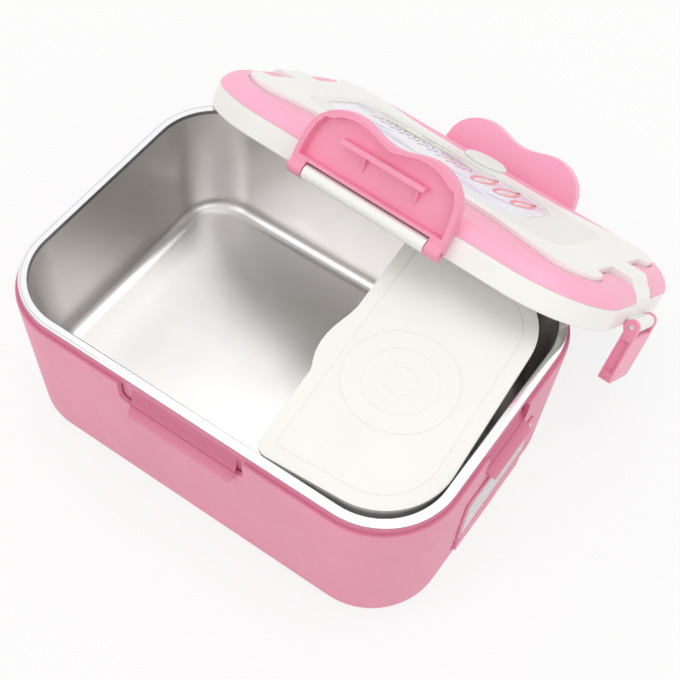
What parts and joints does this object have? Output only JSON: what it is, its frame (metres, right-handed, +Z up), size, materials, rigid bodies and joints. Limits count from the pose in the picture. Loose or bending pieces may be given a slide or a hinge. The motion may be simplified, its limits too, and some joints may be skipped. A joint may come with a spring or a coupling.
{
  "type": "electric lunch box",
  "caption": "Electric lunch box: heated body, lift-out steel tub, small lidded tray, and a loose snap-latch lid with fold-up handles leaning on the rim.",
  "frame": {"origin": "centre of the body's footprint on the table, at the bottom of the rubber feet", "axes": "+X along the long side to the power inlet end, +Y towards the leaning lid, +Z up"},
  "size_m": [0.2577, 0.29, 0.1453],
  "materials": {
    "pink_shell": "satin moulded polypropylene, pink",
    "pink_trim": "semi-gloss moulded plastic, light pink",
    "white_plastic": "semi-gloss white polypropylene",
    "liner_plastic": "grey moulded plastic, matte",
    "tub_steel": "stainless steel, satin inside, polished rim",
    "bare_steel": "plain steel",
    "plate_aluminium": "cast aluminium, satin",
    "black_plastic": "black moulded plastic, matte",
    "ceramic": "dark insulated heater block",
    "fuse_sleeve": "woven glass sleeve",
    "foot_rubber": "matte rubber",
    "seal_silicone": "translucent white silicone"
  },
  "bodies": {
    "base": {"outer_shell": "pink_shell", "inner_liner": "liner_plastic", "bottom_cover": "pink_shell", "rubber_feet": "foot_rubber", "cover_screws": "bare_steel", "heating_plate": "plate_aluminium", "ptc_elements": "ceramic", "thermostat": "black_plastic", "thermal_fuse": "fuse_sleeve", "heat_shield": "bare_steel", "power_inlet": "black_plastic", "inlet_pins": "bare_steel", "dc_jack": "black_plastic", "inlet_panel": "pink_shell", "flap_pin": "bare_steel"},
    "flap": {"inlet_flap": "pink_shell"},
    "tub": {"steel_tub": "tub_steel"},
    "tray": {"small_tray": "white_plastic"},
    "tray_cover": {"tray_lid": "white_plastic"},
    "lid": {"lid_shell": "white_plastic", "lid_inner_plate": "white_plastic", "lid_seal": "seal_silicone", "latch_pins": "bare_steel", "handle_pins": "bare_steel"},
    "front_snap": {"front_latch": "pink_trim"},
    "back_snap": {"back_latch": "pink_trim"},
    "left_snap": {"left_latch": "pink_trim"},
    "right_snap": {"right_latch": "pink_trim"},
    "front_grip": {"front_handle": "pink_trim"},
    "back_grip": {"back_handle": "pink_trim"},
    "plug": {"steam_plug": "white_plastic"}
  },
  "joints": [
    {"name": "tub_lift", "type": "slide", "parent": "base", "child": "tub", "axis": [0, 0, 1], "range_m": [0, 0.08]},
    {"name": "tray_lift", "type": "slide", "parent": "tub", "child": "tray", "axis": [0, 0, 1], "range_m": [0, 0.07]},
    {"name": "tray_lid_lift", "type": "slide", "parent": "tray", "child": "tray_cover", "axis": [0, 0, 1], "range_m": [0, 0.03]},
    {"name": "lid_lift", "type": "slide", "parent": "tray_cover", "child": "lid", "axis": [0, 0, 1], "range_m": [0, 0.12]},
    {"name": "front_latch_swing", "type": "hinge", "parent": "lid", "child": "front_snap", "pos_m": [0.00635, 0.04702, 0.11571], "axis": [0.9981, -0.0593, 0.0157], "range_deg": [0, 150]},
    {"name": "back_latch_swing", "type": "hinge", "parent": "lid", "child": "back_snap", "pos_m": [0.01593, 0.17891, 0.00478], "axis": [-0.9981, 0.0593, -0.0157], "range_deg": [0, 45]},
    {"name": "left_latch_swing", "type": "hinge", "parent": "lid", "child": "left_snap", "pos_m": [-0.10983, 0.12015, 0.05835], "axis": [0.0555, 0.7641, -0.6427], "range_deg": [0, 175]},
    {"name": "right_latch_swing", "type": "hinge", "parent": "lid", "child": "right_snap", "pos_m": [0.13211, 0.10578, 0.06215], "axis": [-0.0555, -0.7641, 0.6427], "range_deg": [0, 175]},
    {"name": "front_handle_fold", "type": "hinge", "parent": "lid", "child": "front_grip", "pos_m": [0.01055, 0.10877, 0.08167], "axis": [-0.9981, 0.0593, -0.0157], "range_deg": [0, 90]},
    {"name": "back_handle_fold", "type": "hinge", "parent": "lid", "child": "back_grip", "pos_m": [0.01244, 0.13475, 0.05982], "axis": [0.9981, -0.0593, 0.0157], "range_deg": [0, 90]},
    {"name": "steam_plug_lift", "type": "slide", "parent": "lid", "child": "plug", "axis": [0.0261, 0.6424, 0.7659], "range_m": [0, 0.03]},
    {"name": "inlet_flap_swing", "type": "hinge", "parent": "base", "child": "flap", "pos_m": [0.11449, 0, 0.02815], "axis": [0, -1, 0], "range_deg": [0, 90]}
  ]
}
